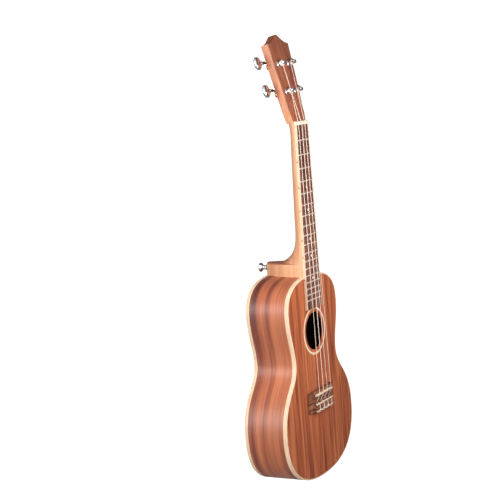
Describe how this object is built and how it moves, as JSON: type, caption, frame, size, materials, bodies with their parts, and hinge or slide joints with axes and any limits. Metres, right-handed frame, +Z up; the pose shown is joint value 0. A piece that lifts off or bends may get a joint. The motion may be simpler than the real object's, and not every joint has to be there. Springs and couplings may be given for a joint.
{
  "type": "ukulele",
  "caption": "Ukulele with a waisted hollow body, bound edges, bound fingerboard, tie bridge and geared tuning machines whose buttons turn the string posts.",
  "frame": {"origin": "on the outer face of the flat back plate, on the centre line, at the level where the lower bout is widest", "axes": "+Z up the neck towards the headstock, -Y out of the soundboard, +Y out of the back, +X towards the treble side (the right side seen from the front)"},
  "size_m": [0.213, 0.0917, 0.6296],
  "materials": {
    "walnut_laminate": "satin varnished reddish-brown laminate",
    "cream_binding": "cream plastic binding",
    "inner_wood": "unfinished softwood",
    "neck_wood": "satin varnished light peach wood",
    "overlay_veneer": "satin varnished reddish-brown veneer",
    "dark_wood": "oiled dark brown wood",
    "ivory_plastic": "polished ivory-coloured plastic",
    "pearl_plastic": "pearl plastic",
    "dark_plastic": "dark plastic",
    "fret_metal": "polished nickel silver",
    "nylon": "clear whitish nylon",
    "chrome": "chrome plated",
    "brass": "machined brass"
  },
  "bodies": {
    "instrument": {"back_braces": "inner_wood", "back_plate": "walnut_laminate", "binding_back": "cream_binding", "binding_front": "cream_binding", "bridge": "dark_wood", "bridge_patch": "inner_wood", "face_dots": "pearl_plastic", "fingerboard": "dark_wood", "fingerboard_binding": "cream_binding", "frets": "fret_metal", "head_overlay": "overlay_veneer", "linings": "inner_wood", "machine_plates": "chrome", "machine_screws": "chrome", "neck": "neck_wood", "neck_block": "inner_wood", "neck_dowels": "inner_wood", "nut": "ivory_plastic", "post_bushings": "chrome", "rosette": "cream_binding", "saddle": "ivory_plastic", "side_bass": "walnut_laminate", "side_dots": "dark_plastic", "side_treble": "walnut_laminate", "soundboard": "walnut_laminate", "soundboard_braces": "inner_wood", "strap_button": "chrome", "strap_button_screw": "chrome", "string_a": "nylon", "string_c": "nylon", "string_e": "nylon", "string_g": "nylon", "tail_block": "inner_wood", "tie_block_strips": "cream_binding"},
    "button_g": {"worm_shaft_g": "chrome", "tuner_button_g": "chrome"},
    "post_g": {"tuner_post_g": "chrome", "tuner_wheel_g": "brass", "wheel_screw_g": "chrome", "string_wind_g": "nylon"},
    "button_c": {"worm_shaft_c": "chrome", "tuner_button_c": "chrome"},
    "post_c": {"tuner_post_c": "chrome", "tuner_wheel_c": "brass", "wheel_screw_c": "chrome", "string_wind_c": "nylon"},
    "button_e": {"worm_shaft_e": "chrome", "tuner_button_e": "chrome"},
    "post_e": {"tuner_post_e": "chrome", "tuner_wheel_e": "brass", "wheel_screw_e": "chrome", "string_wind_e": "nylon"},
    "button_a": {"worm_shaft_a": "chrome", "tuner_button_a": "chrome"},
    "post_a": {"tuner_post_a": "chrome", "tuner_wheel_a": "brass", "wheel_screw_a": "chrome", "string_wind_a": "nylon"}
  },
  "joints": [
    {"name": "button_turn_g", "type": "hinge", "parent": "instrument", "child": "button_g", "pos_m": [-0.0132, -0.03966, 0.47297], "axis": [1, 0, 0], "continuous": true},
    {"name": "post_turn_g", "type": "hinge", "parent": "instrument", "child": "post_g", "pos_m": [-0.0132, -0.05673, 0.47018], "axis": [0, -0.9744, 0.225], "continuous": true},
    {"name": "button_turn_c", "type": "hinge", "parent": "instrument", "child": "button_c", "pos_m": [-0.0158, -0.03078, 0.51145], "axis": [1, 0, 0], "continuous": true},
    {"name": "post_turn_c", "type": "hinge", "parent": "instrument", "child": "post_c", "pos_m": [-0.0158, -0.04784, 0.50867], "axis": [0, -0.9744, 0.225], "continuous": true},
    {"name": "button_turn_e", "type": "hinge", "parent": "instrument", "child": "button_e", "pos_m": [0.0158, -0.03078, 0.51145], "axis": [1, 0, 0], "continuous": true},
    {"name": "post_turn_e", "type": "hinge", "parent": "instrument", "child": "post_e", "pos_m": [0.0158, -0.04784, 0.50867], "axis": [0, -0.9744, 0.225], "continuous": true},
    {"name": "button_turn_a", "type": "hinge", "parent": "instrument", "child": "button_a", "pos_m": [0.0132, -0.03966, 0.47297], "axis": [1, 0, 0], "continuous": true},
    {"name": "post_turn_a", "type": "hinge", "parent": "instrument", "child": "post_a", "pos_m": [0.0132, -0.05673, 0.47018], "axis": [0, -0.9744, 0.225], "continuous": true}
  ],
  "couplings": [
    {"joint": "post_turn_g", "follows": "button_turn_g", "ratio": 0.0625},
    {"joint": "post_turn_c", "follows": "button_turn_c", "ratio": 0.0625},
    {"joint": "post_turn_e", "follows": "button_turn_e", "ratio": 0.0625},
    {"joint": "post_turn_a", "follows": "button_turn_a", "ratio": 0.0625}
  ]
}
